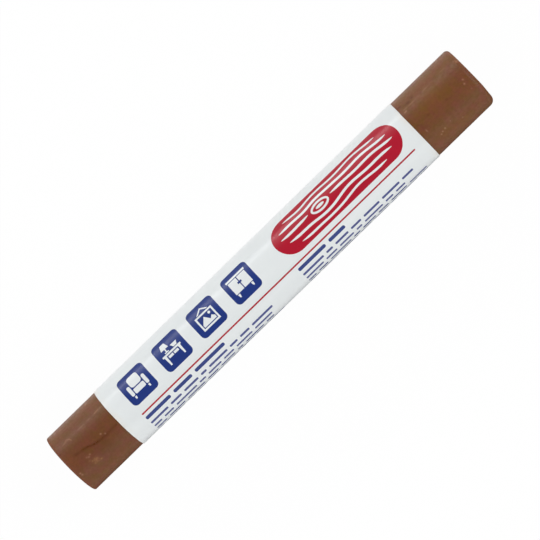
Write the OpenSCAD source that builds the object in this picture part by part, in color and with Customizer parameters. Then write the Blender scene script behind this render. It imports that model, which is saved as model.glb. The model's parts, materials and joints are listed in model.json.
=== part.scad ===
// Furniture repair wax stick: a round stick of hard brown wax with a printed paper label
// wrapped once around its middle. The stick lies along X on a table top, with Z up.
// The moulded end is at +X and the cut end at -X. The label's lap is underneath.

/* [Wax stick] */
// Diameter of the wax stick
wax_d = 12.7; // [9:0.1:25]
// Length of the wax stick from end to end
wax_len = 100.2; // [90:0.1:160]
// Radius of the round rim at the moulded end
moulded_rim_r = 1.2; // [0.4:0.1:2.5]
// Radius of the worn rim at the cut end
cut_rim_r = 0.3; // [0.1:0.05:1.2]

/* [Label] */
// Bare wax between the cut end and the label
bare_len = 12.1; // [4:0.1:22]
// Width of the label along the stick
label_len = 74; // [30:0.5:84]
// Thickness of the label's paper
paper_t = 0.11; // [0.06:0.01:0.25]
// Width of the lap, where the label's last edge lies over its first edge
lap_w = 5; // [2:0.5:10]
// Angle of the crease where the paper starts its climb over the first edge
crease_a = 3; // [2:0.5:5]

/* [Glue] */
// Thickness of each strip of glue
glue_t = 0.05; // [0.03:0.01:0.12]
// Width of the strip that holds the label's first edge to the wax
pickup_w = 6; // [2:0.5:12]
// Paper left dry between a strip of glue and the edge beside it
dry_edge = 0.6; // [0.2:0.1:0.9]
// Paper left dry at each end of a strip of glue
dry_end = 2; // [0.5:0.5:8]

/* [Hidden] */
$fn = 96;

// Radii of the layers, from the wax outward
wax_r = wax_d / 2;
wrap_r = wax_r + glue_t;
wrap_out_r = wrap_r + paper_t;
lap_r = wrap_out_r + glue_t;
lap_out_r = lap_r + paper_t;

// Angles around the stick, seen from the moulded end
down_a = -90;
lap_a = arc_angle(lap_w, lap_r);
first_edge_a = down_a - lap_a / 2;
last_edge_a = first_edge_a + lap_a;
// The climbing paper is flat. It is square to the line at this angle, and meets the lap's
// radius above the first edge.
climb_a = acos(wrap_r * cos(crease_a) / lap_r);
climb_square_a = first_edge_a - climb_a;

// Places along the stick
cut_end_x = -wax_len / 2;
label_x = cut_end_x + bare_len;
glue_x = label_x + dry_end;
glue_len = label_len - 2 * dry_end;

// The lap rests on the table
axis_z = lap_out_r;
wedge_reach = 2 * lap_out_r;
overrun = wax_r;

function arc_angle(width, radius) = 180 * width / (PI * radius);

// Lay a section drawn around the stick's axis along the stick
module along_stick(x, len) {
    translate([x, 0, axis_z])
        rotate([90, 0, 90])
            linear_extrude(height = len)
                children();
}

// Part of the plane between two angles, less than a third of a turn apart
module wedge(from_a, to_a) {
    polygon([
        [0, 0],
        wedge_reach * [cos(from_a), sin(from_a)],
        wedge_reach * [cos(to_a), sin(to_a)]
    ]);
}

module ring(inner_r, outer_r) {
    difference() {
        circle(r = outer_r);
        circle(r = inner_r);
    }
}

module arc_band(inner_r, outer_r, from_a, to_a) {
    intersection() {
        ring(inner_r, outer_r);
        wedge(from_a, to_a);
    }
}

// What a rounded rim takes off the square corner of the stick's half outline
module rim_waste(rim_r) {
    difference() {
        square(rim_r + overrun);
        circle(r = rim_r);
    }
}

// Half outline of the stick, with its axis along the first side
module wax_outline() {
    difference() {
        square([wax_r, wax_len]);
        translate([wax_r - moulded_rim_r, wax_len - moulded_rim_r])
            rim_waste(moulded_rim_r);
        translate([wax_r - cut_rim_r, cut_rim_r])
            mirror([0, 1])
                rim_waste(cut_rim_r);
    }
}

module wax_stick() {
    color([0.44, 0.28, 0.18])
        translate([cut_end_x, 0, axis_z])
            rotate([0, 90, 0])
                rotate_extrude()
                    wax_outline();
}

// The strip of glue that holds the label's first edge to the wax
module pickup_glue() {
    from_a = first_edge_a + arc_angle(dry_edge, wrap_r);
    color([0.86, 0.80, 0.62])
        along_stick(glue_x, glue_len)
            arc_band(wax_r, wrap_r, from_a, from_a + arc_angle(pickup_w, wrap_r));
}

// Everything on the axis side of the flat that the climbing paper lies along. The flat
// leaves a circle of this radius at the crease.
module under_climb(radius) {
    rotate(climb_square_a)
        translate([-wedge_reach, -wedge_reach])
            square([wedge_reach + radius * cos(crease_a), 2 * wedge_reach]);
}

// The paper goes once around the wax, climbs off it along a flat and ends in the lap
module label_section() {
    difference() {
        union() {
            circle(r = wrap_out_r);
            // Outside of the climb and the lap
            intersection() {
                circle(r = lap_out_r);
                under_climb(wrap_out_r);
                wedge(climb_square_a, last_edge_a);
            }
        }
        circle(r = wrap_r);
        // Air under the climb, as far as the first edge
        intersection() {
            circle(r = (wrap_out_r + lap_r) / 2);
            under_climb(wrap_r);
            wedge(climb_square_a, first_edge_a);
        }
        // Room for glue between the layers, open at the last edge
        intersection() {
            ring(wrap_out_r, lap_r);
            under_climb(wrap_r);
            wedge(climb_square_a, last_edge_a + climb_a);
        }
    }
}

module label() {
    color([0.90, 0.91, 0.91])
        along_stick(label_x, label_len)
            label_section();
}

// The strip of glue between the two layers of the lap
module lap_glue() {
    dry_a = arc_angle(dry_edge, lap_r);
    color([0.86, 0.80, 0.62])
        along_stick(glue_x, glue_len)
            arc_band(wrap_out_r, lap_r, first_edge_a + dry_a, last_edge_a - dry_a);
}

wax_stick();
pickup_glue();
label();
lap_glue();
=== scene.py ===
# %% [markdown]
# # A furniture repair wax stick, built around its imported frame
#
# The real object is a hard wax stick, half an inch across and about four inches long. It is rubbed
# into scratches in furniture. A sheet of coated paper is wrapped once round its middle and glued to
# itself, and both ends are bare wax. The frame holds four solids: the wax, the label, and two thin
# strips of glue. Blender's work is the finish: worn rims, marks in the wax, a sheet of paper that
# is not quite smooth, and its print.

# %% Open the frame
import json
import math

import bpy
import numpy as np
from mathutils import Matrix, Vector, noise


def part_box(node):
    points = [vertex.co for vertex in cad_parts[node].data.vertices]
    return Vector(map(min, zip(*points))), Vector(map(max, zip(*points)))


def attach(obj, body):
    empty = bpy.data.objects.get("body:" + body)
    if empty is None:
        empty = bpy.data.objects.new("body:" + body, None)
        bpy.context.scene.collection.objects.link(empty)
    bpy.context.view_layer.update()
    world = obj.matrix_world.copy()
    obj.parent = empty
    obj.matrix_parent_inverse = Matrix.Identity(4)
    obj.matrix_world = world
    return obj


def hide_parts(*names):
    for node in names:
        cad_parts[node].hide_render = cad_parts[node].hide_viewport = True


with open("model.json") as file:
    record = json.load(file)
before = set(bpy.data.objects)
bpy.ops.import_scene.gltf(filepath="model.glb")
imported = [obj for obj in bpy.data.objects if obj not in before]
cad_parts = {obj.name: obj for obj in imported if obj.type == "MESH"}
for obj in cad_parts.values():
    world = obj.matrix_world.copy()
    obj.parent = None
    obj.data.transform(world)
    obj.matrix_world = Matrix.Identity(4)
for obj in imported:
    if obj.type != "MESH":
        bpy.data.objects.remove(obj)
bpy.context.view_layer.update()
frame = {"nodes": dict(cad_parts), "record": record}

# %% [markdown]
# ## Measures
#
# Every length is in metres, so a helper turns millimetres into metres where a real size is given.
# The stick lies along X on the table. The record's end face gives the end and the height of the axis,
# which the boxes of faceted meshes only give roughly, and the label's box gives its two edges.
# The thin layers are the same real sizes as in the frame: wax, glue, paper, glue, paper.

# %% Measures
def mm(length):
    return length / 1000


end_face = next(m for m in frame["record"]["mounts"] if m["name"] == "moulded_end_face")
END_X, _, AXIS_Z = end_face["pos_m"]
LABEL_X0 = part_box("label")[0].x
LABEL_X1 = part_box("label")[1].x

WAX_R = mm(6.35)
GLUE_T = mm(0.05)
PAPER_T = mm(0.11)
LAP_W = mm(5)
WRAP_R = WAX_R + GLUE_T
SHEET_R = WRAP_R + PAPER_T
LAP_R = SHEET_R + GLUE_T
print("stick", round(2000 * END_X, 2), "mm long, label",
      round(1000 * (LABEL_X1 - LABEL_X0), 2), "mm wide")

# %% [markdown]
# ## Camera
#
# The photograph looks straight down on the stick through a long lens. A pinhole fitted to the
# stick's outline gives the distance, the lens, the angle of the stick in the picture, and a small
# tilt that brings the moulded end nearer. A camera's axes are the rows of the turn that takes
# points of the stick to the picture, so the turn is built first and then turned over.

# %% Camera
CAMERA_GAP = mm(627.4)
LENS_MM = 233.4
STICK_TURN = math.radians(44.233)
END_LIFT = math.radians(2.771)
AIM_TURN = math.radians(0.067)
AIM_RIGHT = mm(0.05)
AIM_UP = mm(-0.091)

picture_turn = Matrix.Rotation(STICK_TURN, 3, "Z") @ Matrix.Rotation(-END_LIFT, 3, "Y")
stick_turn = picture_turn.transposed()
aim_turn = Matrix.Rotation(AIM_TURN, 3, "Z") @ Matrix.Rotation(-END_LIFT, 3, "Y")
camera_offset = aim_turn.transposed() @ Vector((-AIM_RIGHT, -AIM_UP, CAMERA_GAP))

camera_data = bpy.data.cameras.new("photo_camera")
camera_data.lens = LENS_MM
camera_data.sensor_width = 36
camera_data.clip_start = 0.01
camera_data.clip_end = 10
camera = bpy.data.objects.new("photo_camera", camera_data)
bpy.context.scene.collection.objects.link(camera)
camera.matrix_world = Matrix.Translation(Vector((0, 0, AXIS_Z)) + camera_offset) @ stick_turn.to_4x4()
bpy.context.scene.camera = camera
print("camera at", [round(v, 3) for v in camera.location])

# %% [markdown]
# ## Helpers for modelling
#
# The frame leaves its nodes selected, and an operator acts on all that is selected, so everything
# is let go before a primitive is added. Outlines are drawn as by hand: a plane is merged into one
# point, and that point is extruded from place to place.

# %% Selecting and editing
def let_go():
    bpy.ops.object.select_all(action="DESELECT")


def pick(piece):
    let_go()
    bpy.context.view_layer.objects.active = piece
    piece.select_set(True)


def edit(piece):
    pick(piece)
    bpy.ops.object.mode_set(mode="EDIT")


def edit_all(piece):
    edit(piece)
    bpy.ops.mesh.select_all(action="SELECT")


def leave_edit():
    bpy.ops.object.mode_set(mode="OBJECT")


def give_name(piece, name):
    piece.name = name
    piece.data.name = name
    return piece


def start_point(name, place):
    let_go()
    bpy.ops.mesh.primitive_plane_add(size=mm(1), location=place)
    piece = give_name(bpy.context.active_object, name)
    bpy.ops.object.transform_apply(location=True)
    edit_all(piece)
    bpy.ops.mesh.merge(type="CENTER")
    return piece


def extrude_by(step):
    bpy.ops.mesh.extrude_region_move(TRANSFORM_OT_translate={"value": tuple(step)})


def spin(steps, angle):
    """Spin about the stick's axis, from +Y toward the top. The operator turns left-handed."""
    bpy.ops.mesh.spin(steps=steps, angle=angle, center=(0, 0, AXIS_Z), axis=(-1, 0, 0))


SAME_PLACE = mm(0.0005)
SMOOTH_ANGLE = math.radians(30)


def finish_mesh(piece):
    edit_all(piece)
    bpy.ops.mesh.remove_doubles(threshold=SAME_PLACE)
    bpy.ops.mesh.normals_make_consistent(inside=False)
    leave_edit()
    bpy.ops.object.shade_smooth_by_angle(angle=SMOOTH_ANGLE)
    piece.data.validate()
    print(piece.name, "has", len(piece.data.vertices), "points and", len(piece.data.polygons), "faces")


def read_points(piece):
    flat = np.empty(3 * len(piece.data.vertices))
    piece.data.vertices.foreach_get("co", flat)
    return flat.reshape(-1, 3)


def write_points(piece, points):
    piece.data.vertices.foreach_set("co", points.ravel())
    piece.data.update()


def places_around(points):
    """How far points are from the stick's axis, and their tilt from the top toward +Y."""
    up = points[:, 2] - AXIS_Z
    return np.hypot(points[:, 1], up), np.arctan2(points[:, 1], up)


def write_around(piece, points, radius, tilt):
    """Put points back at these distances from the axis and these tilts."""
    points[:, 1] = radius * np.sin(tilt)
    points[:, 2] = AXIS_Z + radius * np.cos(tilt)
    write_points(piece, points)


def give_attribute(piece, name, values):
    layer = piece.data.attributes.new(name, "FLOAT", "POINT")
    layer.data.foreach_set("value", values.astype(np.float32))


def smooth_noise(points, size, seed):
    """Noise from -1 to 1 whose lumps are about this size."""
    shift = Vector((seed, -seed, 0.5 * seed))
    return np.array([noise.noise(Vector(p) / size + shift) for p in points])


print("helpers ready")

# %% [markdown]
# ## The wax stick
#
# A moulded stick is a revolve, so half its outline is drawn and spun round the axis. The two rims
# differ: the moulded end is well rounded, and the cut end nearly sharp. The bare ends get rings close
# together, because their dents and the crease are real shape, and the middle is hidden by the
# label and gets few. Rings on the end faces carry the marks of the mould and the knife.

# %% Outline of the wax
MOULDED_RIM = mm(0.8)
CUT_RIM = mm(0.2)
RING_GAP = mm(0.125)
AROUND = 300
HIDDEN_RINGS = 12
UNDER_LABEL = mm(1)
FACE_RINGS = 26
RIM_SEGMENTS = 9


def extrude_run(step_x, step_z, count):
    for _ in range(count):
        extrude_by((step_x / count, 0, step_z / count))


wax = start_point("wax_body", (-END_X, 0, AXIS_Z))
extrude_run(0, WAX_R - CUT_RIM, FACE_RINGS)
extrude_by((0, 0, CUT_RIM))
bare = LABEL_X0 + END_X
extrude_by((CUT_RIM, 0, 0))
extrude_run(bare, 0, int(bare / RING_GAP))
extrude_run(LABEL_X1 - LABEL_X0 - UNDER_LABEL, 0, HIDDEN_RINGS)
bare = END_X - MOULDED_RIM - LABEL_X1 - CUT_RIM + UNDER_LABEL
extrude_run(bare, 0, int(bare / RING_GAP))
extrude_by((MOULDED_RIM, 0, 0))
extrude_by((0, 0, -MOULDED_RIM))
extrude_run(0, MOULDED_RIM - WAX_R, FACE_RINGS)
leave_edit()
print("outline has", len(wax.data.vertices), "points")

# %% [markdown]
# The rims are square so far. Each corner point is beveled as a point, which turns it into an arc, and
# then the outline is spun. The poles and the seam close when the doubles are merged.

# %% Round the rims and spin
def bevel_corner(piece, place, radius):
    edit(piece)
    bpy.ops.mesh.select_mode(type="VERT")
    bpy.ops.mesh.select_all(action="DESELECT")
    leave_edit()
    for point in piece.data.vertices:
        point.select = (point.co - Vector(place)).length < mm(0.01)
    edit(piece)
    # The arc ends just short of the next points of the outline.
    bpy.ops.mesh.bevel(affect="VERTICES", offset=0.999 * radius, segments=RIM_SEGMENTS)
    leave_edit()


bevel_corner(wax, (END_X, 0, AXIS_Z + WAX_R), MOULDED_RIM)
bevel_corner(wax, (-END_X, 0, AXIS_Z + WAX_R), CUT_RIM)
edit_all(wax)
spin(AROUND, 2 * math.pi)
leave_edit()
finish_mesh(wax)

# %% [markdown]
# ## Wear on the wax
#
# A real stick is never a clean revolve. The mould's rim is rounder on one side and worn down there,
# the knife left fine ridges on the other end's face, and the soft surface takes dents. As the wax
# cooled in the mould it shrank, so that end's face is a little dished, with a dimple in its middle.
# Moving the points in code is the same work as a sculpting brush, and every move goes inward, so the
# stick keeps its size.

# %% Rims and dents
WORN_SIDE_DEPTH = mm(0.2)
DENT_DEPTH = mm(0.014)
DISH_DEPTH = mm(0.07)
DIMPLE_DEPTH = mm(0.11)
COOLING_DEPTH = mm(0.005)
HOLLOW_DEPTH = mm(0.015)
RIDGE_DEPTH = mm(0.012)

points = read_points(wax)
radius, tilt = places_around(points)


def round_rim(out, radius, rim):
    """Pull points outside a rim of this radius onto it. out is their distance along from the middle."""
    from_x = out - (END_X - rim)
    from_r = radius - (WAX_R - rim)
    reach = np.hypot(np.maximum(from_x, 0), np.maximum(from_r, 0))
    share = np.where((from_x > 0) & (from_r > 0) & (reach > rim), rim / np.maximum(reach, 1e-9), 1)
    return END_X - rim + from_x * share, WAX_R - rim + from_r * share


moulded = points[:, 0] > 0
rim = np.where(moulded, MOULDED_RIM + mm(0.15) * (1 - np.sin(tilt)), CUT_RIM)
rim += mm(0.02) * (1 + smooth_noise(points, mm(4), 3))
out, radius = round_rim(np.abs(points[:, 0]), radius, rim)
worn_side = np.clip((-np.sin(tilt) - 0.5) / 0.33, 0, 1)
out -= np.where(moulded, WORN_SIDE_DEPTH * worn_side * (radius / WAX_R) ** 4, 0)

dents = 0.5 + 0.5 * smooth_noise(points, mm(3.2), 11)
radius -= DENT_DEPTH * dents ** 2 * np.clip(radius / WAX_R, 0, 1)
face = np.clip(1 - (radius / (WAX_R - mm(0.6))) ** 2, 0, 1)
dimple = np.exp(-(radius / mm(1.3)) ** 2)
cooling_rings = 1 + np.sin(2 * math.pi * radius / mm(1.15) + dents)
shrunk = DISH_DEPTH * face + DIMPLE_DEPTH * dimple + COOLING_DEPTH * cooling_rings * np.sqrt(face)
out -= np.where(moulded, shrunk, 0)
chatter = 1 + np.sin(2 * math.pi * (points[:, 2] + 0.35 * points[:, 1]) / mm(0.8) + 2 * dents)
out -= np.where(moulded, 0, HOLLOW_DEPTH * face + RIDGE_DEPTH * chatter * np.clip(3 * face, 0, 1))
print("rims from", round(1000 * rim.min(), 2), "to", round(1000 * rim.max(), 2), "mm")

# %% [markdown]
# Each mark in the wax has a place on the upper side, measured from the stick's middle and axis. It is
# soft at its edge. It is kept as a value on the points, from which the material takes its colour, and
# the crease, flecks, crumbs and scuffs also press the surface in a little. Crumbs of wax lie in a small
# heap, and scuffs are broken up by noise along their length. The crease's dark colour is painted shade
# in its groove. The long scuff lines run along the highlight's edge, and their pale colour is partly
# painted glints, as is that of a few flecks near the highlight. Broad golden places and darker stains
# are where the pigment is uneven, and the side of the stick toward the strip lamp gets a pale painted
# sheen.

# %% Marks in the wax
def spots(points, places):
    """Soft oval spots on the upper side: x, y, half length, half width and strength, in mm."""
    upper = points[:, 2] > AXIS_Z
    total = np.zeros(len(points))
    for x, y, length, width, strength in places:
        far = ((points[:, 0] - mm(x)) / mm(length)) ** 2 + ((points[:, 1] - mm(y)) / mm(width)) ** 2
        total = np.maximum(total, strength * np.exp(-far) * upper)
    return total


def along_path(points, path, width):
    """A soft line on the upper side through these places, in mm."""
    upper = points[:, 2] > AXIS_Z
    flat = points[:, :2]
    nearest = np.full(len(points), 1.0)
    for start, end in zip(path, path[1:]):
        start, end = np.array(start) / 1000, np.array(end) / 1000
        along = end - start
        share = np.clip((flat - start) @ along / (along @ along), 0, 1)
        gap = np.linalg.norm(flat - start - share[:, None] * along, axis=1)
        nearest = np.minimum(nearest, gap)
    return np.exp(-(nearest / mm(width)) ** 2) * upper


# The crease's path across the top, in mm. The material paints it dark, as painted shade in the groove.
CREASE = [(-38.6, -0.55), (-40.9, -0.6), (-42.5, -0.52), (-43.5, -0.38), (-44.7, 0.05), (-45.5, 0.28),
          (-46.6, 0.48), (-47.9, 0.64)]
CREASE_X = [-48.0, -47.5, -46.6, -45.8, -43.0, -41.0, -40.2, -38.6]
CREASE_STRENGTH = [0.1, 0.65, 0.6, 0.8, 0.85, 0.85, 0.5, 0.5]
# Pale flecks of wax. The spots near the upper edge, at y of about 6, and the two at the moulded rim near
# y 3.5 to 4 are painted glints.
FLECKS_AND_GLINTS = [
    (-41.75, 0.22, 0.15, 0.14, 1.0), (-41.1, -0.3, 0.14, 0.14, 0.9), (-49.35, -2.3, 0.16, 0.15, 0.9),
    (-49.25, -2.75, 0.16, 0.14, 0.9), (-40.4, 5.9, 0.3, 0.14, 0.6), (-47.0, 5.75, 0.3, 0.12, 0.5),
    (-48.2, 6.0, 0.3, 0.12, 0.4), (48.2, 0.42, 0.15, 0.15, 1.0), (47.9, -0.3, 0.15, 0.15, 1.0),
    (37.35, -1.58, 0.13, 0.28, 0.7), (38.9, -3.9, 0.15, 0.13, 0.8), (39.37, -3.68, 0.14, 0.13, 0.9),
    (40.05, -3.55, 0.15, 0.15, 0.9), (41.6, -3.25, 0.12, 0.12, 0.5), (43.7, -4.35, 0.13, 0.12, 0.5),
    (48.25, -1.75, 0.12, 0.12, 0.5), (49.6, 3.52, 0.25, 0.2, 1.0), (49.4, 3.9, 0.3, 0.12, 0.5),
    (-46.5, -1.05, 0.18, 0.16, 0.5), (-46.15, -1.25, 0.24, 0.18, 0.6), (-45.7, -1.05, 0.2, 0.16, 0.65),
]
CRUMBS = [
    (-46.5, -1.85, 0.25, 0.17, 0.6), (-46.2, -2.25, 0.24, 0.2, 0.8), (-46.05, -2.8, 0.24, 0.2, 0.9),
    (-45.75, -2.9, 0.2, 0.18, 1.0), (-45.7, -2.2, 0.24, 0.2, 0.9), (-45.35, -2.45, 0.28, 0.24, 1.0),
    (-45.1, -2.7, 0.2, 0.2, 0.9), (-44.8, -3.05, 0.25, 0.15, 0.9), (-45.35, -2.95, 0.2, 0.17, 0.9),
    (-45.65, -2.55, 0.6, 0.42, 0.75),
]
STAINS = [
    (38.4, 4.3, 0.6, 0.22, 1.25), (36.7, 4.75, 0.4, 0.2, 1.2), (39.55, 4.5, 0.32, 0.18, 1.2),
    (41.3, 3.95, 0.35, 0.15, 0.6), (39.5, 0.27, 0.35, 0.22, 0.8), (43.75, -0.07, 0.3, 0.2, 0.8),
    (36.9, 0.2, 0.2, 0.2, 0.7), (40.4, -0.34, 0.25, 0.2, 0.5), (37.4, -0.9, 0.6, 0.9, 0.4),
    (-43.0, -1.6, 4.6, 2.8, 0.6), (-43.8, 1.6, 2.6, 1.1, 0.4), (-49.6, 2.55, 0.3, 0.15, 1.3),
    (-47.3, 0.2, 0.8, 0.6, 0.35), (49.7, 0.6, 0.3, 1.2, 0.5), (-43.5, 0.5, 9.0, 7.0, 0.4),
]
GOLDEN = [
    (42.0, 2.4, 4.2, 2.0, 1.0), (43.0, -5.1, 5.0, 1.2, 0.8), (39.6, -4.0, 1.8, 1.0, 0.9),
    (47.6, -1.6, 1.4, 1.1, 0.5), (43.0, 4.6, 5.0, 0.8, 0.4), (-43.5, -5.3, 6.0, 1.1, 0.7),
    (-48.9, 0.3, 0.8, 1.8, 0.4), (-40.6, -1.8, 1.0, 0.8, 0.5), (-43.0, 2.9, 4.0, 0.5, 0.3),
]

patchy = 0.5 + 0.5 * smooth_noise(points, mm(1.3), 8)
crumbly = 0.5 + 0.5 * smooth_noise(points, mm(0.28), 5)
blotchy = 0.5 + 0.5 * smooth_noise(points, mm(0.7), 6)
crease = along_path(points, CREASE, 0.27) * np.clip(0.4 + 0.9 * blotchy, 0, 1)
crease *= np.interp(1000 * points[:, 0], CREASE_X, CREASE_STRENGTH)
crumbs = 0.75 * spots(points, CRUMBS) * np.clip(1.7 * crumbly, 0.5, 1.3)
flecks_and_glints = spots(points, FLECKS_AND_GLINTS)
stains = np.clip(spots(points, STAINS) * (0.5 + 0.5 * patchy), 0, 1)
golden = spots(points, GOLDEN) * (0.4 + 0.8 * blotchy)

broken = np.clip(0.45 + 1.6 * smooth_noise(points, mm(1.1), 14), 0.1, 1.2)
# The long scuff lines near y 3.5 to 4 run along the highlight's edge, and their pale colour is partly
# painted glints.
SCUFF_AND_GLINT_LINES = [
    ([(-49.2, 3.35), (-46.5, 3.55), (-42.5, 3.55), (-38.3, 3.65)], 0.1, 0.65, broken),
    ([(-44.5, 3.1), (-41.0, 3.2)], 0.1, 0.25, broken),
    ([(-47.5, 3.58), (-47.05, 3.73), (-46.6, 3.5), (-46.4, 3.1)], 0.11, 0.8, 1),
    ([(-40.1, 3.62), (-39.2, 3.7)], 0.13, 0.85, 1),
    ([(36.6, 3.9), (38.4, 3.8), (41.4, 3.9), (43.4, 4.05)], 0.11, 0.6, broken),
    ([(36.8, 3.38), (37.2, 3.46)], 0.12, 1.1, 1),
    ([(45.2, 4.3), (47.3, 4.2)], 0.1, 0.3, broken),
]
scuffs_and_glints = np.zeros(len(points))
for path, width, strength, gaps in SCUFF_AND_GLINT_LINES:
    scuffs_and_glints = np.maximum(scuffs_and_glints, strength * gaps * along_path(points, path, width))
for name, places in (("flecks_and_glints", FLECKS_AND_GLINTS), ("crumbs", CRUMBS), ("stains", STAINS), ("scuffs_and_glints", SCUFF_AND_GLINT_LINES)):
    print(len(places), name)

# %% [markdown]
# The photograph shows only the upper side, but the stick was handled all round. So the flanks and the
# underside of the bare ends get marks of the same kinds, scattered by chance. The chance is seeded,
# so that they fall in the same places each time.

# %% Marks out of sight
chance = np.random.default_rng(5)


def scatter(count, length, width, strength):
    """Soft oval spots of about this half length and half width, in mm, on the sides that face away."""
    total = np.zeros(len(points))
    for _ in range(count):
        x = mm(chance.uniform(38.8, 48.4)) * chance.choice((-1, 1))
        turn = math.radians(chance.uniform(98, 262))
        size = mm(chance.uniform(0.6, 1.4))
        around = WAX_R * ((tilt - turn + math.pi) % (2 * math.pi) - math.pi)
        far = ((points[:, 0] - x) / (length * size)) ** 2 + (around / (width * size)) ** 2
        total = np.maximum(total, strength * chance.uniform(0.4, 1) * np.exp(-far))
    return total


flecks_and_glints = np.maximum(flecks_and_glints, scatter(40, 0.2, 0.14, 0.9))
stains = np.maximum(stains, scatter(16, 0.6, 0.3, 0.8) * (0.5 + 0.5 * patchy))
golden = np.maximum(golden, scatter(8, 2.6, 1.5, 0.9) * (0.4 + 0.8 * blotchy))
scuffs_and_glints = np.maximum(scuffs_and_glints, scatter(14, 1.5, 0.1, 0.8) * broken)
print(np.count_nonzero((flecks_and_glints > 0.3) & (points[:, 2] < AXIS_Z)), "points lie in flecks underneath")

# %% Press the marks in and keep their values
CREASE_DEPTH = mm(0.038)
FLECK_DEPTH = mm(0.012)
SCUFF_DEPTH = mm(0.01)
radius -= CREASE_DEPTH * crease + FLECK_DEPTH * (flecks_and_glints + crumbs) + SCUFF_DEPTH * scuffs_and_glints
points[:, 0] = np.where(moulded, out, -out)
write_around(wax, points, radius, tilt)

worn_edge = np.exp(-((END_X - out) / mm(0.5)) ** 2) * np.clip(radius / WAX_R * 3 - 2, 0, 1)
# A pale painted sheen on the side toward the strip lamp, growing toward the upper edge.
painted_sheen = np.clip((np.sin(tilt) - 0.4) / 0.5, 0, 1) * (0.6 + 0.8 * patchy)
for name, values in (("crease", crease), ("flecks_and_glints", flecks_and_glints), ("crumbs", crumbs), ("stains", stains),
                     ("golden", golden), ("scuffs_and_glints", scuffs_and_glints), ("worn_edge", worn_edge), ("painted_sheen", painted_sheen)):
    give_attribute(wax, name, values)
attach(wax, "root")
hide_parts("wax_stick")
print("the wax keeps", len(wax.data.attributes), "attributes")

# %% [markdown]
# ## The label's paper
#
# The label is one strip of paper. It starts under the stick, goes once round, climbs over its own
# start and ends in a lap. Its inner face is drawn as one line, a spin, a straight climb and a second
# spin, and the line is extruded along the stick. Solidify then gives the paper its thickness, a little
# less than the frame's, so that the print on it stays inside the frame's box. The steps along and
# around are kept, because the print is cut along the same grid.

# %% Draw the sheet
SHEET_T = mm(0.098)
STEPS_ROUND = 172
STEPS_ALONG = 120
CLIMB_STEPS = 8
LAP_STEPS = 24
CREASE_A = math.radians(3)
lap_a = LAP_W / LAP_R
first_edge_a = -math.pi / 2 - lap_a / 2
climb_a = math.acos(WRAP_R * math.cos(CREASE_A) / LAP_R)
wrap_a = 2 * math.pi - climb_a - CREASE_A
STEP_A = wrap_a / STEPS_ROUND
STEP_X = (LABEL_X1 - LABEL_X0) / STEPS_ALONG


def round_place(angle, radius, x=0.0):
    """A place around the stick, at this angle from +Y toward the top."""
    return Vector((x, radius * math.cos(angle), AXIS_Z + radius * math.sin(angle)))


paper = start_point("label_paper", round_place(first_edge_a, WRAP_R, LABEL_X0))
spin(STEPS_ROUND, wrap_a)
climb_start = round_place(first_edge_a + wrap_a, WRAP_R)
climb_end = round_place(first_edge_a, LAP_R)
for _ in range(CLIMB_STEPS):
    extrude_by((climb_end - climb_start) / CLIMB_STEPS)
spin(LAP_STEPS, lap_a)
bpy.ops.mesh.select_all(action="SELECT")
for _ in range(STEPS_ALONG):
    extrude_by((STEP_X, 0, 0))
leave_edit()
print("the sheet's inner face has", len(paper.data.vertices), "points")

# %% [markdown]
# Paper on wax isn't a perfect tube. It waves in by a few hundredths of a millimetre, which is enough
# to break up a highlight. Its cut edges aren't quite straight either, and the one toward the moulded
# end steps out a little on one side. The wave is a function of the place on the stick, so that the
# print can follow it exactly.

# %% Waves and cut edges
BROAD_WAVE = mm(0.026)
SMALL_WAVE = mm(0.008)
EDGE_WANDER = mm(0.015)
EDGE_REACH = mm(0.03)
EDGE_STEP = mm(0.05)
STEP_TILT = math.radians(38)


def paper_wave(x, tilt):
    """How far the paper lies inside its round, at places x and tilt from the top."""
    places = np.stack([x, WRAP_R * np.sin(tilt), WRAP_R * np.cos(tilt)], axis=1)
    broad = 0.5 + 0.5 * smooth_noise(places, mm(9), 21)
    small = 0.5 + 0.5 * smooth_noise(places, mm(3.5), 22)
    clear_of_lap = np.clip((math.radians(150) - np.abs(tilt)) / math.radians(30), 0, 1)
    return clear_of_lap * (BROAD_WAVE * broad + SMALL_WAVE * small)


def face_outward(piece):
    """Turn the faces of an open sheet around the stick outward."""
    edit_all(piece)
    bpy.ops.mesh.normals_make_consistent(inside=False)
    leave_edit()
    faces = piece.data.polygons
    outward = sum(f.center.y * f.normal.y + (f.center.z - AXIS_Z) * f.normal.z for f in faces)
    if outward < 0:
        edit_all(piece)
        bpy.ops.mesh.flip_normals()
        leave_edit()


points = read_points(paper)
radius, tilt = places_around(points)
radius -= paper_wave(points[:, 0], tilt)
edge_places = np.stack([np.sign(points[:, 0]), 4 * np.sin(tilt), 4 * np.cos(tilt)], axis=1)
edge_cut = EDGE_WANDER * (1 + smooth_noise(edge_places, 1.0, 31))
half_way = (LABEL_X0 + LABEL_X1) / 2
half_width = (LABEL_X1 - LABEL_X0) / 2
right_side = points[:, 0] > half_way
past_step = 1 / (1 + np.exp((STEP_TILT - tilt) / math.radians(1.5)))
stretch = right_side * (EDGE_REACH + EDGE_STEP * past_step)
# Only the last twelfth of each half moves with its edge.
edge_share = np.clip(12 * np.abs(points[:, 0] - half_way) / half_width - 11, 0, 1)
points[:, 0] += np.where(right_side, 1, -1) * edge_share * (stretch - edge_cut)
write_around(paper, points, radius, tilt)
face_outward(paper)
print("the label's cut edges lie from", round(1000 * points[:, 0].min(), 3), "to",
      round(1000 * points[:, 0].max(), 3), "mm")

# %% Give the sheet its thickness
def thicken(piece, thickness):
    """Add thickness outward, from a surface whose normals point out."""
    wall = piece.modifiers.new("thickness", "SOLIDIFY")
    wall.thickness = thickness
    wall.offset = 1
    wall.use_even_offset = True
    pick(piece)
    bpy.ops.object.modifier_apply(modifier=wall.name)


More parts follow.
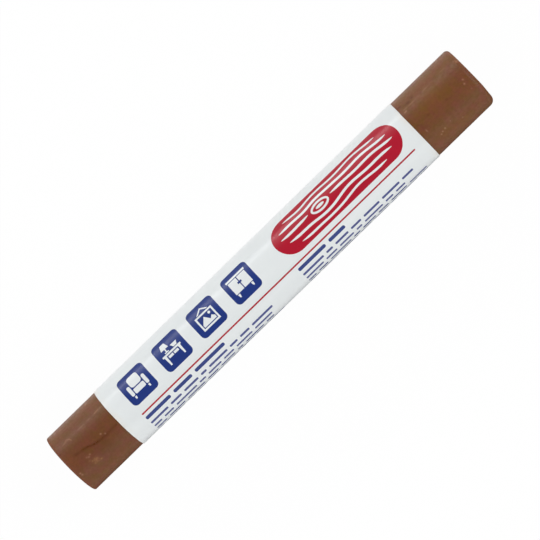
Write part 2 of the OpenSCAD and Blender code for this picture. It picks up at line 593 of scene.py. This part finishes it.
thicken(paper, SHEET_T)
finish_mesh(paper)
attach(paper, "root")
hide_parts("label")

# %% [markdown]
# The sheet ends underneath, in a cut edge along the whole stick. A trace of glue stays there and picks
# up dirt. The points near that edge keep a value, and the paper's material turns it into a thin line.

# %% Edge of the lap
points = read_points(paper)
radius = places_around(points)[0]
angle = np.arctan2(points[:, 2] - AXIS_Z, points[:, 1])
in_lap = radius > SHEET_R + GLUE_T / 2
from_edge = LAP_R * np.abs(angle - first_edge_a - lap_a)
lap_edge = in_lap * np.exp(-(from_edge / mm(0.3)) ** 2)
give_attribute(paper, "lap_edge", lap_edge)
print(np.count_nonzero(lap_edge > 0.5), "points lie along the lap's edge")

# %% [markdown]
# ## Print on the label
#
# Print lies on the paper as a film of ink. Each shape is drawn flat, with x along the stick and y
# around it from the top. The shape is cut along the paper's own grid and then wrapped onto it, so
# film and paper bend at the same lines and the edges of the print stay sharp. A film is thinner
# than a hair, so it has no visible edge.

# %% Drawing board
INK_GAP = mm(0.002)
INK_T = mm(0.003)
PRINT_R = WRAP_R + SHEET_T


def draw_bar(x0, x1, y0, y1, name="bar"):
    let_go()
    bpy.ops.mesh.primitive_plane_add(size=1, location=(mm(x0 + x1) / 2, mm(y0 + y1) / 2, 0))
    piece = give_name(bpy.context.active_object, name)
    piece.scale = (mm(x1 - x0), mm(y1 - y0), 1)
    bpy.ops.object.transform_apply(location=True, scale=True)
    return piece


def round_corners(piece, radius, segments=5):
    edit_all(piece)
    bpy.ops.mesh.bevel(affect="VERTICES", offset=mm(radius), segments=segments)
    leave_edit()
    return piece


def draw_shape(corners):
    """A flat shape drawn from corner to corner and filled."""
    piece = start_point("shape", (mm(corners[0][0]), mm(corners[0][1]), 0))
    for here, there in zip(corners, corners[1:]):
        extrude_by((mm(there[0] - here[0]), mm(there[1] - here[1]), 0))
    bpy.ops.mesh.select_all(action="SELECT")
    bpy.ops.mesh.edge_face_add()
    leave_edit()
    return piece


def join(pieces, name):
    let_go()
    for piece in pieces:
        piece.select_set(True)
    bpy.context.view_layer.objects.active = pieces[0]
    bpy.ops.object.join()
    return give_name(bpy.context.active_object, name)


def keep_rim(piece, width):
    """Cut the middle out of a flat shape and leave a rim of this width, in mm."""
    edit_all(piece)
    bpy.ops.mesh.inset(thickness=mm(width))
    bpy.ops.mesh.delete(type="FACE")
    leave_edit()


print("print is wrapped at a radius of", round(1000 * PRINT_R, 3), "mm")


# %% Cut along the grid and wrap
def cut_along_grid(piece):
    flat = read_points(piece)
    low, high = flat.min(axis=0), flat.max(axis=0)
    cuts = []
    for k in range(1, STEPS_ALONG):
        x = LABEL_X0 + k * STEP_X
        if low[0] < x < high[0]:
            cuts.append(((x, 0, 0), (1, 0, 0)))
    for k in range(1, STEPS_ROUND):
        y = PRINT_R * (math.pi / 2 - first_edge_a - k * STEP_A)
        if low[1] < y < high[1]:
            cuts.append(((0, y, 0), (0, 1, 0)))
    edit(piece)
    for place, direction in cuts:
        bpy.ops.mesh.select_all(action="SELECT")
        bpy.ops.mesh.bisect(plane_co=place, plane_no=direction)
    leave_edit()
    return len(cuts)


def wrap(piece, layer=0):
    """Cut a flat film along the paper's grid, wrap it onto the paper and thicken it."""
    cuts = cut_along_grid(piece)
    flat = read_points(piece)
    tilt = flat[:, 1] / PRINT_R
    lift = INK_GAP + layer * (INK_T + INK_GAP)
    radius = PRINT_R + lift - paper_wave(flat[:, 0], tilt)
    write_around(piece, flat, radius, tilt)
    face_outward(piece)
    thicken(piece, INK_T)
    finish_mesh(piece)
    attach(piece, "root")
    print("  cut along", cuts, "lines")
    return piece


print("the grid has", STEPS_ALONG, "steps along and", STEPS_ROUND, "around")

# %% [markdown]
# ## The red panel
#
# A red panel with round ends lies toward the moulded end. White lines run across it like the grain
# of a board, and part around a knot. The lines are straight bars first. They are cut along the
# grid, and their points are then moved onto a flowing curve, with thin round ends.

# %% Red panel
PANEL_X0, PANEL_X1 = 3.6, 33.7
PANEL_Y0, PANEL_Y1 = -1.4, 5.86
PANEL_CORNER = 3.6
red_panel = draw_bar(PANEL_X0, PANEL_X1, PANEL_Y0, PANEL_Y1, "print_red_panel")
round_corners(red_panel, PANEL_CORNER, segments=18)
wrap(red_panel)

# %% Grain lines
KNOT_X = 14.6
PANEL_MIDDLE = (PANEL_Y0 + PANEL_Y1) / 2


def grain_height(x, height):
    """Height of a grain line at x, in mm. Near the knot the lines are pushed apart."""
    drift = 0.2 * np.sin(x / 3.1 + 0.4) + 0.11 * np.sin(x / 1.35 + 0.9 * height)
    near_knot = np.exp(-((x - KNOT_X) / 3.0) ** 2)
    push = 0.62 * np.sign(height) * near_knot * math.exp(-abs(height) / 3)
    return PANEL_MIDDLE + height + drift * (1 - 0.6 * near_knot) + push


def grain_line(x0, x1, height, width):
    line = draw_bar(x0, x1, -0.5, 0.5, "grain_line")
    cut_along_grid(line)
    # The last cut, which runs along the bar, is still selected. It gets points between its own.
    edit(line)
    bpy.ops.mesh.subdivide(number_cuts=1)
    leave_edit()
    flat = 1000 * read_points(line)
    from_end = np.minimum(flat[:, 0] - x0, x1 - flat[:, 0])
    half = width / 2 * np.sqrt(np.clip(from_end / 1.6, 0.02, 1))
    flat[:, 1] = grain_height(flat[:, 0], height) + 2 * flat[:, 1] * half
    write_points(line, flat / 1000)
    return line


def draw_ring(x, y, half_x, half_y, width):
    let_go()
    bpy.ops.mesh.primitive_circle_add(vertices=40, radius=1, fill_type="NGON", location=(mm(x), mm(y), 0))
    ring = bpy.context.active_object
    ring.scale = (mm(half_x), mm(half_y), 1)
    bpy.ops.object.transform_apply(location=True, scale=True)
    if width:
        keep_rim(ring, width)
    return ring


grain = [
    grain_line(7.4, 29.8, 2.5, 0.4),
    grain_line(5.6, 31.6, 1.28, 0.46),
    grain_line(5.2, KNOT_X - 2.75, 0.05, 0.46),
    grain_line(KNOT_X + 2.75, 32.2, 0.05, 0.46),
    grain_line(6.2, 31.0, -1.28, 0.46),
    grain_line(8.0, 28.8, -2.5, 0.4),
    draw_ring(KNOT_X, PANEL_MIDDLE, 2.1, 1.0, 0.4),
    draw_ring(KNOT_X, PANEL_MIDDLE, 0.95, 0.28, 0),
]
print_grain = wrap(join(grain, "print_grain"), layer=1)

# %% [markdown]
# ## Four tiles
#
# Four small tiles lead up to the panel and show what the stick is for: an armchair, a table with a lamp
# and a bowl, a picture on a nail, and a cabinet. Each tile is a square with round corners. The
# pictures are solid shapes with gaps between them, as on a stencil, because thin strokes would look
# like letters at this size.

# %% Tiles
TILE = 6.1
TILE_Y = PANEL_MIDDLE
TILE_X = [-30.9, -22.3, -13.7, -5.1]
tiles = [draw_bar(x - TILE / 2, x + TILE / 2, TILE_Y - TILE / 2, TILE_Y + TILE / 2) for x in TILE_X]
print_tiles = round_corners(join(tiles, "print_tiles"), 0.9, segments=6)
wrap(print_tiles)

# %% Helpers for pictures
pictures = []


def solid(tile, corners, both_sides=False):
    """A shape on a tile, drawn from corner to corner, in mm from the tile's middle."""
    for side in ((1, -1) if both_sides else (1,)):
        pictures.append(draw_shape([(side * x + TILE_X[tile], y + TILE_Y) for x, y in corners]))


def block(tile, x0, x1, y0, y1, corner=0.0):
    bar = draw_bar(TILE_X[tile] + x0, TILE_X[tile] + x1, TILE_Y + y0, TILE_Y + y1)
    pictures.append(round_corners(bar, corner, segments=4) if corner else bar)
    return bar


print("tile middles at", TILE_X, "mm")

# %% Armchair
block(0, -1.22, 1.22, -0.12, 2.05, corner=0.55)
block(0, -2.1, -1.42, -1.38, 0.7, corner=0.3)
block(0, 1.42, 2.1, -1.38, 0.7, corner=0.3)
block(0, -1.22, 1.22, -1.38, -0.34, corner=0.22)
solid(0, [(-1.85, -1.55), (-1.4, -1.55), (-1.55, -2.05), (-1.8, -2.05)], both_sides=True)
print("shapes so far:", len(pictures))

# %% Table with a lamp and a bowl
solid(1, [(-2.15, 0.02), (-2.15, -0.34), (-1.9, -0.34), (-1.8, -2.1), (-1.5, -2.1), (-1.38, -0.34),
          (1.38, -0.34), (1.5, -2.1), (1.8, -2.1), (1.9, -0.34), (2.15, -0.34), (2.15, 0.02)])
block(1, -1.15, -0.1, -1.0, -0.53)
block(1, 0.1, 1.15, -1.0, -0.53)
solid(1, [(-1.25, 0.16), (-0.35, 0.16), (-0.35, 0.36), (-0.68, 0.36), (-0.68, 0.95), (0.05, 0.95),
          (-0.3, 2.1), (-1.3, 2.1), (-1.65, 0.95), (-0.92, 0.95), (-0.92, 0.36), (-1.25, 0.36)])
solid(1, [(0.4, 0.85), (1.85, 0.85), (1.5, 0.16), (0.75, 0.16)])
print("shapes so far:", len(pictures))

# %% Picture on a nail
keep_rim(block(2, -1.98, 1.98, -2.0, 0.95), 0.34)
solid(2, [(-1.35, 1.12), (-0.95, 1.12), (0, 1.8), (0.95, 1.12), (1.35, 1.12), (0, 2.12)])
solid(2, [(-1.45, -1.48), (1.45, -1.48), (1.45, -0.95), (0.95, -0.5), (0.45, -0.95), (-0.35, 0.2),
          (-1.45, -1.0)])
pictures.append(draw_ring(TILE_X[2] + 0.92, TILE_Y + 0.15, 0.27, 0.27, 0))
print("shapes so far:", len(pictures))

# %% Cabinet
solid(3, [(-2.0, -1.25), (-0.1, -1.25), (-0.1, 0.0), (-0.45, 0.0), (-0.45, 0.42), (-0.1, 0.42),
          (-0.1, 1.38), (-2.0, 1.38)], both_sides=True)
block(3, -2.2, 2.2, 1.54, 1.95)
solid(3, [(-1.85, -1.4), (-1.35, -1.4), (-1.5, -2.05), (-1.75, -2.05)], both_sides=True)
print(len(pictures), "shapes on", len(TILE_X), "tiles")
print_pictures = wrap(join(pictures, "print_pictures"), layer=1)

# %% [markdown]
# ## Rules and rows
#
# A red rule underlines the tiles and the panel. Below it two columns of dashes fill the place of small
# print, each under a bold heading. The dashes have the lengths and gaps of words, but there is
# nothing to read. Every dash is a bar with its corners rounded. The columns go on underneath, and
# the back of the label has a block of its own.

# %% Rows of dashes
WORD_LENGTHS = [4.2, 2.6, 3.4, 1.3, 4.4, 1.8, 2.2, 5.0, 1.5, 3.1, 2.4, 3.8]
WORD_GAP = 0.75
PRINT_X0, PRINT_X1 = -34.1, 33.6
COLUMNS = [(PRINT_X0, -2.2), (3.8, PRINT_X1)]
BLOCKS = [(-5.3, 7), (14.3, 3)]
ROW_STEP = 1.35
ROW_HEIGHT = 0.55


def draw_row(x0, x1, y, height, first_word):
    """Dashes with the lengths of words, from x0 to the last word that ends before x1."""
    dashes = []
    word = first_word
    x = x0
    while x + WORD_LENGTHS[word % len(WORD_LENGTHS)] < x1:
        length = WORD_LENGTHS[word % len(WORD_LENGTHS)]
        dashes.append(draw_bar(x, x + length, y - height / 2, y + height / 2))
        x += length + WORD_GAP
        word += 1
    return dashes


rows = []
for first_y, row_count in BLOCKS:
    for row in range(row_count):
        for column, (x0, x1) in enumerate(COLUMNS):
            rows += draw_row(x0, x1, first_y - ROW_STEP * row, ROW_HEIGHT, 5 * row + 7 * column)
print_rows = round_corners(join(rows, "print_rows"), 0.2, segments=3)
wrap(print_rows)

# %% Bold dashes and the red rule
BOLD_HALF = 0.38
HEADINGS = {
    -3.75: [(-34.1, -28.1), (-27.2, -22.8), (-21.9, -14.7), (3.8, 10.4), (11.3, 15.2)],
    15.75: [(-34.1, -29.6), (-28.7, -21.5), (3.8, 8.9)],
}
bold = [draw_bar(x0, x1, y - BOLD_HALF, y + BOLD_HALF) for y, bars in HEADINGS.items() for x0, x1 in bars]
print_bold = round_corners(join(bold, "print_bold_dashes"), 0.3, segments=4)
wrap(print_bold)
print_rule = round_corners(draw_bar(PRINT_X0, PRINT_X1, -2.72, -2.4, "print_red_rule"), 0.13, segments=3)
wrap(print_rule)

# %% [markdown]
# ## Materials
#
# Effects that several materials share are node groups. Cloudiness lets a colour drift toward a second
# one, in patches of a given size. Fine grain is the tooth of a surface, as a normal. Both read Object
# coordinates in metres, so their sizes are real sizes.

# %% Node helpers
def new_group(name, inputs, outputs):
    group = bpy.data.node_groups.new(name, "ShaderNodeTree")
    for socket, kind, value in inputs:
        made = group.interface.new_socket(socket, in_out="INPUT", socket_type=kind)
        made.default_value = value
    for socket, kind in outputs:
        group.interface.new_socket(socket, in_out="OUTPUT", socket_type=kind)
    return group, group.nodes.new("NodeGroupInput"), group.nodes.new("NodeGroupOutput")


def math_node(tree, operation, first, second):
    node = tree.nodes.new("ShaderNodeMath")
    node.operation = operation
    for socket, value in zip(node.inputs, (first, second)):
        if isinstance(value, (int, float)):
            socket.default_value = value
        else:
            tree.links.new(value, socket)
    return node.outputs[0]


def mix_colours(tree, share, first, second):
    node = tree.nodes.new("ShaderNodeMix")
    node.data_type = "RGBA"
    for name, value in (("Factor", share), ("A", first), ("B", second)):
        socket = next(s for s in node.inputs if s.name == name and s.enabled)
        if hasattr(value, "links"):
            tree.links.new(value, socket)
        else:
            socket.default_value = value
    return next(s for s in node.outputs if s.enabled)


COLOUR = "NodeSocketColor"
NUMBER = "NodeSocketFloat"
VECTOR = "NodeSocketVector"
print("node helpers ready")


# %% Shared effects
def add_noise(group, given, scale_name, detail, roughness):
    """Noise on Object coordinates times Stretch. A value below 1 draws the noise out that way."""
    place = group.nodes.new("ShaderNodeTexCoord")
    stretched = group.nodes.new("ShaderNodeVectorMath")
    stretched.operation = "MULTIPLY"
    group.links.new(place.outputs["Object"], stretched.inputs[0])
    group.links.new(given.outputs["Stretch"], stretched.inputs[1])
    made = group.nodes.new("ShaderNodeTexNoise")
    made.noise_dimensions = "4D"
    made.inputs["Detail"].default_value = detail
    made.inputs["Roughness"].default_value = roughness
    group.links.new(stretched.outputs[0], made.inputs["Vector"])
    group.links.new(given.outputs[scale_name], made.inputs["Scale"])
    group.links.new(given.outputs["Seed"], made.inputs["W"])
    return made.outputs["Fac"]


def make_cloudiness():
    group, given, made = new_group(
        "cloudiness",
        [("Colour", COLOUR, (0.5, 0.5, 0.5, 1)), ("Other Colour", COLOUR, (0.4, 0.4, 0.4, 1)),
         ("Patches per Metre", NUMBER, 300.0), ("Stretch", VECTOR, (1, 1, 1)),
         ("Contrast", NUMBER, 2.0), ("Seed", NUMBER, 0.0)],
        [("Colour", COLOUR), ("Mask", NUMBER)])
    clouds = add_noise(group, given, "Patches per Metre", 3, 0.55)
    centred = math_node(group, "SUBTRACT", clouds, 0.5)
    spread = math_node(group, "MULTIPLY", centred, given.outputs["Contrast"])
    mask = group.nodes.new("ShaderNodeClamp")
    group.links.new(math_node(group, "ADD", spread, 0.5), mask.inputs["Value"])
    colour = mix_colours(group, mask.outputs[0], given.outputs["Colour"], given.outputs["Other Colour"])
    group.links.new(colour, made.inputs["Colour"])
    group.links.new(mask.outputs[0], made.inputs["Mask"])
    return group


def make_fine_grain():
    group, given, made = new_group(
        "fine_grain",
        [("Grains per Metre", NUMBER, 3000.0), ("Stretch", VECTOR, (1, 1, 1)),
         ("Height", NUMBER, 0.00001), ("Seed", NUMBER, 0.0)],
        [("Normal", VECTOR)])
    grains = add_noise(group, given, "Grains per Metre", 2, 0.5)
    height = math_node(group, "MULTIPLY", grains, given.outputs["Height"])
    bump = group.nodes.new("ShaderNodeBump")
    bump.inputs["Distance"].default_value = 1.0
    group.links.new(height, bump.inputs["Height"])
    group.links.new(bump.outputs["Normal"], made.inputs["Normal"])
    return group


cloudiness = make_cloudiness()
fine_grain = make_fine_grain()
print("groups:", [g.name for g in bpy.data.node_groups])


# %% Starting a material
def srgb(red, green, blue):
    """A colour as a picture shows it, from 0 to 255, turned into the linear values of a shader."""
    def linear(value):
        value = value / 255
        return value / 12.92 if value <= 0.04045 else ((value + 0.055) / 1.055) ** 2.4
    return (linear(red), linear(green), linear(blue), 1.0)


def new_material(name, roughness, specular=0.5):
    material = bpy.data.materials.new(name)
    material.use_nodes = True
    tree = material.node_tree
    shader = tree.nodes["Principled BSDF"]
    shader.inputs["Roughness"].default_value = roughness
    shader.inputs["Specular IOR Level"].default_value = specular
    return material, tree, shader


def put_group(tree, group, **values):
    node = tree.nodes.new("ShaderNodeGroup")
    node.node_tree = group
    for name, value in values.items():
        socket = node.inputs[name.replace("_", " ")]
        if hasattr(value, "links"):
            tree.links.new(value, socket)
        else:
            socket.default_value = value
    return node


def point_value(tree, name):
    node = tree.nodes.new("ShaderNodeAttribute")
    node.attribute_name = name
    return node.outputs["Fac"]


def object_axis(tree, axis):
    """One of the Object coordinates, in metres."""
    place = tree.nodes.new("ShaderNodeTexCoord")
    apart = tree.nodes.new("ShaderNodeSeparateXYZ")
    tree.links.new(place.outputs["Object"], apart.inputs[0])
    return apart.outputs[axis]


def vary_roughness(tree, shader, swing, mask):
    """Let the roughness drift around its own value with a mask from 0 to 1."""
    roughness = shader.inputs["Roughness"]
    centred = math_node(tree, "SUBTRACT", mask, 0.5)
    moved = math_node(tree, "MULTIPLY", centred, 2 * swing)
    tree.links.new(math_node(tree, "ADD", moved, roughness.default_value), roughness)


print("paper white is", [round(v, 3) for v in srgb(225, 229, 229)[:3]])

# %% [markdown]
# ### Wax
#
# Hard filler wax is pigment in wax. Up close its brown drifts between redder and greener patches, with
# finer light and dark ones in them and faint streaks along the stick, left by the mould. The surface
# is satin with a little depth, smoother in the crease, where the wax was pressed, and duller on the
# rims, where it is rubbed. Each mark has a value on the points. One loop lays the marks' colours over
# the brown, from the broad ones to the small ones, and a share says how much colour a full mark has.

# %% Wax material
WAX_RED = srgb(116, 57, 41)
WAX_OLIVE = srgb(99, 65, 0)
WAX_LIGHT = srgb(117, 70, 34)
WAX_DEEP = srgb(97, 52, 14)
MARK_COLOURS = [
    # The first colour is a painted sheen.
    ("painted_sheen", 0.13, srgb(176, 122, 72)), ("golden", 0.42, srgb(124, 78, 0)),
    # The crease's dark colour is painted shade.
    ("worn_edge", 0.3, srgb(128, 66, 40)), ("crease", 1.0, srgb(78, 40, 0)),
    # The scuffs' pale colour is partly painted glints.
    ("stains", 0.8, srgb(88, 36, 2)), ("scuffs_and_glints", 0.4, srgb(176, 122, 90)),
    # The flecks' pale colour is partly painted glints.
    ("flecks_and_glints", 0.55, srgb(178, 130, 102)), ("crumbs", 0.55, srgb(172, 121, 70)),
]

wax_material, tree, shader = new_material("hard_wax", 0.46, specular=0.38)
patches = put_group(tree, cloudiness, Colour=WAX_RED, Other_Colour=WAX_OLIVE,
                    Patches_per_Metre=600.0, Contrast=4.0)
pigment = put_group(tree, cloudiness, Colour=WAX_LIGHT, Other_Colour=WAX_DEEP,
                    Patches_per_Metre=1900.0, Contrast=3.5, Seed=4.0)
streaks = put_group(tree, cloudiness, Colour=WAX_LIGHT, Other_Colour=WAX_DEEP,
                    Patches_per_Metre=1700.0, Stretch=(0.12, 1, 1), Contrast=2.5, Seed=9.0)
colour = mix_colours(tree, 0.4, patches.outputs["Colour"], pigment.outputs["Colour"])
colour = mix_colours(tree, 0.18, colour, streaks.outputs["Colour"])
for name, share, mark_colour in MARK_COLOURS:
    here = math_node(tree, "MULTIPLY", point_value(tree, name), share)
    colour = mix_colours(tree, here, colour, mark_colour)
tree.links.new(colour, shader.inputs["Base Color"])
smooth_crease = math_node(tree, "MULTIPLY", point_value(tree, "crease"), 1.5)
dull_rim = math_node(tree, "MULTIPLY", point_value(tree, "worn_edge"), 1.6)
rub_mask = math_node(tree, "SUBTRACT", pigment.outputs["Mask"], smooth_crease)
rub_mask = math_node(tree, "ADD", rub_mask, dull_rim)
vary_roughness(tree, shader, 0.07, rub_mask)
drawn = put_group(tree, fine_grain, Grains_per_Metre=2600.0, Stretch=(0.12, 1, 1), Height=0.00001)
tree.links.new(drawn.outputs["Normal"], shader.inputs["Normal"])
shader.inputs["Subsurface Weight"].default_value = 0.15
shader.inputs["Subsurface Radius"].default_value = (1.0, 0.45, 0.25)
shader.inputs["Subsurface Scale"].default_value = mm(0.5)
wax.data.materials.append(wax_material)
print("wax material has", len(tree.nodes), "nodes")

# %% [markdown]
# ### Paper and inks
#
# The label is coated paper: nearly white, a little cool, and smooth enough to hold a soft highlight. Ink
# takes its gloss from the same coat, so the inks share the paper's tooth and roughness and differ in
# colour. Wax oil creeps into the paper's cut edges and warms them, and dirt sticks to the lap's edge.

# %% Paper material
PAPER_ROUGHNESS = 0.3
PAPER_TOOTH = dict(Grains_per_Metre=1500.0, Height=0.000002)
PAPER_WHITES = srgb(225, 229, 229), srgb(222, 226, 227)
OIL_X0, OIL_X1 = mm(35.6), mm(37.1)


def finish_print(name, first, second, patches_per_metre=500.0, seed=0.0):
    material, tree, shader = new_material(name, PAPER_ROUGHNESS, specular=0.42)
    tone = put_group(tree, cloudiness, Colour=first, Other_Colour=second,
                     Patches_per_Metre=patches_per_metre, Contrast=2.2, Seed=seed)
    tree.links.new(tone.outputs["Colour"], shader.inputs["Base Color"])
    vary_roughness(tree, shader, 0.03, tone.outputs["Mask"])
    tooth = put_group(tree, fine_grain, **PAPER_TOOTH)
    tree.links.new(tooth.outputs["Normal"], shader.inputs["Normal"])
    return material, tree, shader, tone


paper_material, tree, shader, tone = finish_print("coated_paper", *PAPER_WHITES, 180.0, seed=2.0)
from_middle = math_node(tree, "SUBTRACT", object_axis(tree, "X"), half_way)
from_middle = math_node(tree, "ABSOLUTE", from_middle, 0)
oil = tree.nodes.new("ShaderNodeMapRange")
oil.interpolation_type = "SMOOTHSTEP"
tree.links.new(from_middle, oil.inputs["Value"])
oil.inputs["From Min"].default_value = OIL_X0
oil.inputs["From Max"].default_value = OIL_X1
oil.inputs["To Max"].default_value = 0.5
creep = put_group(tree, cloudiness, Patches_per_Metre=420.0, Contrast=4.0, Seed=7.0)
oil_share = math_node(tree, "MULTIPLY", oil.outputs[0], creep.outputs["Mask"])
colour = mix_colours(tree, oil_share, tone.outputs["Colour"], srgb(222, 214, 200))
dirt_share = math_node(tree, "MULTIPLY", point_value(tree, "lap_edge"), creep.outputs["Mask"])
colour = mix_colours(tree, dirt_share, colour, srgb(190, 180, 160))
tree.links.new(colour, shader.inputs["Base Color"])
paper.data.materials.append(paper_material)
print("paper material has", len(tree.nodes), "nodes")

# %% Ink materials
red_ink = finish_print("red_ink", srgb(173, 12, 40), srgb(166, 6, 38), seed=11.0)[0]
navy_ink = finish_print("navy_ink", srgb(26, 51, 124), srgb(20, 45, 116), seed=13.0)[0]
small_ink = finish_print("small_print_ink", srgb(74, 82, 138), srgb(64, 72, 128), 2500.0, seed=17.0)[0]
white_ink = finish_print("unprinted_white", *PAPER_WHITES, 180.0, seed=19.0)[0]
for piece, material in ((red_panel, red_ink), (print_grain, white_ink), (print_tiles, navy_ink),
                        (print_pictures, white_ink), (print_rows, small_ink), (print_bold, navy_ink),
                        (print_rule, red_ink)):
    piece.data.materials.append(material)
print("inks:", [m.name for m in (red_ink, navy_ink, small_ink, white_ink)])

# %% [markdown]
# ### Glue
#
# The two strips of glue are already the right shape in the frame. They stay, and get the look of dried
# clear glue, a little amber, with paler streaks where it was rolled on.

# %% Glue material
glue_material, tree, shader = new_material("dried_glue", 0.28)
streaks = put_group(tree, cloudiness, Colour=srgb(214, 196, 150), Other_Colour=srgb(190, 164, 108),
                    Patches_per_Metre=600.0, Contrast=3.0, Seed=23.0)
tree.links.new(streaks.outputs["Colour"], shader.inputs["Base Color"])
vary_roughness(tree, shader, 0.08, streaks.outputs["Mask"])
rolled = put_group(tree, fine_grain, Grains_per_Metre=2000.0, Stretch=(0.1, 1, 1),
                   Height=0.000006, Seed=3.0)
tree.links.new(rolled.outputs["Normal"], shader.inputs["Normal"])
for strip in (frame["nodes"]["pickup_glue"], frame["nodes"]["lap_glue"]):
    strip.data.materials.clear()
    strip.data.materials.append(glue_material)
    print("glue on", strip.name)

# %% [markdown]
# ## Floor and light
#
# The photograph was taken on a white table, with soft light from all round. One narrow light stands low
# beside the stick, on the side of its upper edge in the picture, and draws the highlight along
# the label. The floor is white to the camera and keeps a part of its real shading, so the stick's
# shadow stays. For reflections the floor glows with painted light instead: white on the lit side,
# dimmer on the other side, and darkest close to the stick, as a painted contact shadow.

# %% Floor
RAMP_Y0, RAMP_Y1 = mm(-30), mm(12)
# Places across the stick, in mm, and the painted level of the floor's glow in reflections there. The
# ramp's own two stops come first.
PAINTED_REFLECTION_LEVELS = [(-26, 0.75), (10, 1.0), (-14, 0.25), (-9, 0.0)]
CAMERA_WHITE = 0.97
let_go()
bpy.ops.mesh.primitive_plane_add(size=8, location=(0, 0, 0))
floor = bpy.context.active_object
floor.name = "floor"
floor_material, tree, shader = new_material("white_table", 0.9, specular=0.1)
shader.inputs["Base Color"].default_value = (0.9, 0.9, 0.9, 1)
glow = tree.nodes.new("ShaderNodeEmission")
rays = tree.nodes.new("ShaderNodeLightPath")
across = tree.nodes.new("ShaderNodeMapRange")
tree.links.new(object_axis(tree, "Y"), across.inputs["Value"])
across.inputs["From Min"].default_value = RAMP_Y0
across.inputs["From Max"].default_value = RAMP_Y1
painted_reflection = tree.nodes.new("ShaderNodeValToRGB")
painted_reflection.color_ramp.interpolation = "EASE"
for k, (y, level) in enumerate(PAINTED_REFLECTION_LEVELS):
    position = (mm(y) - RAMP_Y0) / (RAMP_Y1 - RAMP_Y0)
    stop = painted_reflection.color_ramp.elements[k] if k < 2 else painted_reflection.color_ramp.elements.new(position)
    stop.position = position
    stop.color = (level, level, level, 1)
tree.links.new(across.outputs[0], painted_reflection.inputs[0])
strength = math_node(tree, "MAXIMUM", rays.outputs["Is Camera Ray"], painted_reflection.outputs["Color"])
tree.links.new(strength, glow.inputs["Strength"])
mirror_rays = math_node(tree, "ADD", rays.outputs["Is Glossy Ray"], rays.outputs["Is Transmission Ray"])
camera_share = math_node(tree, "MULTIPLY", rays.outputs["Is Camera Ray"], CAMERA_WHITE)
mix = tree.nodes.new("ShaderNodeMixShader")
tree.links.new(math_node(tree, "ADD", camera_share, mirror_rays), mix.inputs[0])
tree.links.new(shader.outputs[0], mix.inputs[1])
tree.links.new(glow.outputs[0], mix.inputs[2])
tree.links.new(mix.outputs[0], tree.nodes["Material Output"].inputs["Surface"])
floor.data.materials.append(floor_material)
print("floor ready")

# %% World and lamps
WORLD_LEVEL = 0.25
world = bpy.data.worlds.new("studio")
bpy.context.scene.world = world
world.use_nodes = True
tree = world.node_tree
sky = tree.nodes["Background"]
sky.inputs["Color"].default_value = (1, 1, 1, 1)
sky.inputs["Strength"].default_value = WORLD_LEVEL
backdrop = tree.nodes.new("ShaderNodeBackground")
rays = tree.nodes.new("ShaderNodeLightPath")
mix = tree.nodes.new("ShaderNodeMixShader")
tree.links.new(rays.outputs["Is Camera Ray"], mix.inputs[0])
tree.links.new(sky.outputs[0], mix.inputs[1])
tree.links.new(backdrop.outputs[0], mix.inputs[2])
tree.links.new(mix.outputs[0], tree.nodes["World Output"].inputs["Surface"])

# Each lamp has its angles in degrees around Z from +X and above the table, its distance from the
# stick, its two sides, its power in watts, and how far along the stick it is aimed.
LAMPS = [
    ("strip_lamp", 90, 21, 0.5, 0.6, 0.05, 0.86, -0.09),
    ("upper_side_lamp", 90, 35, 0.6, 0.6, 0.35, 0.47, 0),
    ("lower_side_lamp", -90, 28, 0.6, 0.6, 0.35, 0.72, 0),
    ("end_lamp_moulded", 0, 40, 0.6, 0.5, 0.5, 1.6, 0),
    ("end_lamp_cut", 180, 40, 0.6, 0.5, 0.5, 1.25, 0),
    ("corner_lamp_moulded", -42, 30, 0.6, 0.4, 0.4, 0.6, 0),
    ("corner_lamp_cut", -138, 30, 0.6, 0.4, 0.4, 0.48, 0),
]
for name, side_angle, height_angle, gap, size_x, size_y, power, aim_x in LAMPS:
    lamp_data = bpy.data.lights.new(name, "AREA")
    lamp_data.shape = "RECTANGLE"
    lamp_data.size = size_x
    lamp_data.size_y = size_y
    lamp_data.energy = power
    lamp = bpy.data.objects.new(name, lamp_data)
    bpy.context.scene.collection.objects.link(lamp)
    around, above = math.radians(side_angle), math.radians(height_angle)
    level = math.cos(above)
    direction = Vector((math.cos(around) * level, math.sin(around) * level, math.sin(above)))
    lamp.location = Vector((aim_x, 0, AXIS_Z)) + gap * direction
    lamp.rotation_euler = direction.to_track_quat("Z", "Y").to_euler()
bpy.context.scene.view_settings.view_transform = "Standard"
print("lamps:", [lamp[0] for lamp in LAMPS])
